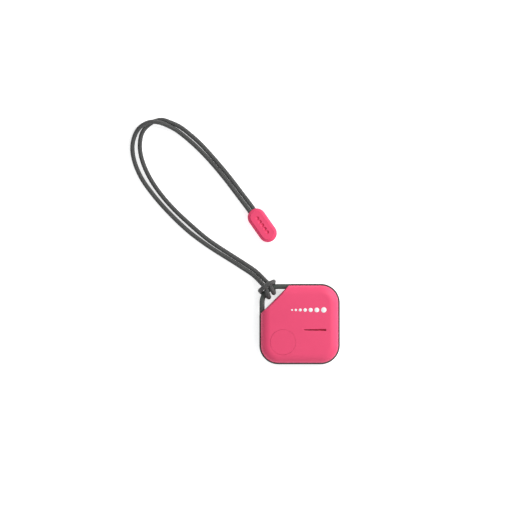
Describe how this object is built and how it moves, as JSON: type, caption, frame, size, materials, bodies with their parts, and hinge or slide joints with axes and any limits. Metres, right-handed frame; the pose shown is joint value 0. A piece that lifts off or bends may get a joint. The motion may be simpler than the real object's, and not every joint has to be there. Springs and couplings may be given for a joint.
{
  "type": "bluetooth tracker tag",
  "caption": "Square tracker tag with a pink pillowed cover, push button, sound slot and battery door, and a grey braided wrist cord hitched on its corner loop.",
  "frame": {"origin": "middle of the tag's flat rear face, without the strap", "axes": "+Z out of the front cover, +Y towards the side that the strap leaves from, +X across the tag to the side away from the loop"},
  "size_m": [0.094, 0.1104, 0.009],
  "materials": {
    "cover_pink": "satin moulded ABS, pink",
    "tray_grey": "fine textured moulded plastic, dark warm grey",
    "door_grey": "fine textured moulded plastic, dark warm grey",
    "cord_end_pink": "satin moulded plastic, pink",
    "cord_grey": "round braided polyester cord, grey",
    "rubber_black": "soft matt rubber or foam",
    "silicone_grey": "translucent grey silicone, and woven mesh",
    "steel": "nickel-plated steel",
    "anode_metal": "dull soft metal disc",
    "cell_powder": "pressed black powder",
    "holder_black": "moulded plastic, black",
    "board_green": "glass-filled board with green lacquer",
    "chip_black": "moulded chip package",
    "ceramic_white": "fired ceramic, off-white",
    "plunger_white": "white moulded plastic",
    "brass": "thin sheet brass"
  },
  "bodies": {
    "tag": {"rear_shell": "tray_grey", "cover_seal": "rubber_black", "front_cover": "cover_pink", "cell_can": "steel", "cell_gasket": "rubber_black", "cell_cap": "steel", "cell_cathode": "cell_powder", "cell_anode": "anode_metal", "cell_holder": "holder_black", "positive_contact": "steel", "negative_contact": "steel", "circuit_board": "board_green", "radio_chip": "chip_black", "crystal": "steel", "chip_antenna": "ceramic_white", "antenna_capacitor": "ceramic_white", "antenna_inductor": "chip_black", "buzzer_driver": "chip_black", "supply_capacitor": "ceramic_white", "boost_inductor": "chip_black", "switch_body": "chip_black", "switch_frame": "steel", "buzzer_plate": "brass", "buzzer_ceramic": "ceramic_white", "buzzer_ring": "rubber_black", "buzzer_spring_inner": "brass", "buzzer_spring_outer": "brass", "sound_mesh": "silicone_grey"},
    "button": {"button_cap": "cover_pink", "button_pad": "silicone_grey"},
    "plunger": {"switch_plunger": "plunger_white"},
    "door": {"battery_door": "door_grey", "door_seal": "rubber_black"},
    "hitch": {"strap_hitch": "cord_grey"},
    "strap": {"strap_strand_a": "cord_grey", "strap_strand_b": "cord_grey", "cord_end_base": "cord_end_pink", "cord_end_lid": "cord_end_pink"}
  },
  "joints": [
    {"name": "button_press", "type": "slide", "parent": "tag", "child": "button", "axis": [0, 0, -1], "range_m": [0, 0.00025], "stiffness_N_per_m": 2000},
    {"name": "switch_press", "type": "slide", "parent": "tag", "child": "plunger", "axis": [0, 0, -1], "range_m": [0, 0.00025]},
    {"name": "battery_door_turn", "type": "hinge", "parent": "tag", "child": "door", "pos_m": [0.001, -0.001, 0.0006], "axis": [0, 0, -1], "range_deg": [0, 30]},
    {"name": "knot_slide", "type": "hinge", "parent": "tag", "child": "hitch", "pos_m": [-0.0095, 0.0095, 0.0038], "axis": [0, 0, 1], "range_deg": [-8, 12]},
    {"name": "strap_lift", "type": "hinge", "parent": "hitch", "child": "strap", "pos_m": [-0.01678, 0.01948, 0.003], "axis": [0.8162, 0.5778, 0], "range_deg": [0, 90]}
  ],
  "couplings": [
    {"joint": "switch_press", "follows": "button_press", "ratio": 1}
  ]
}
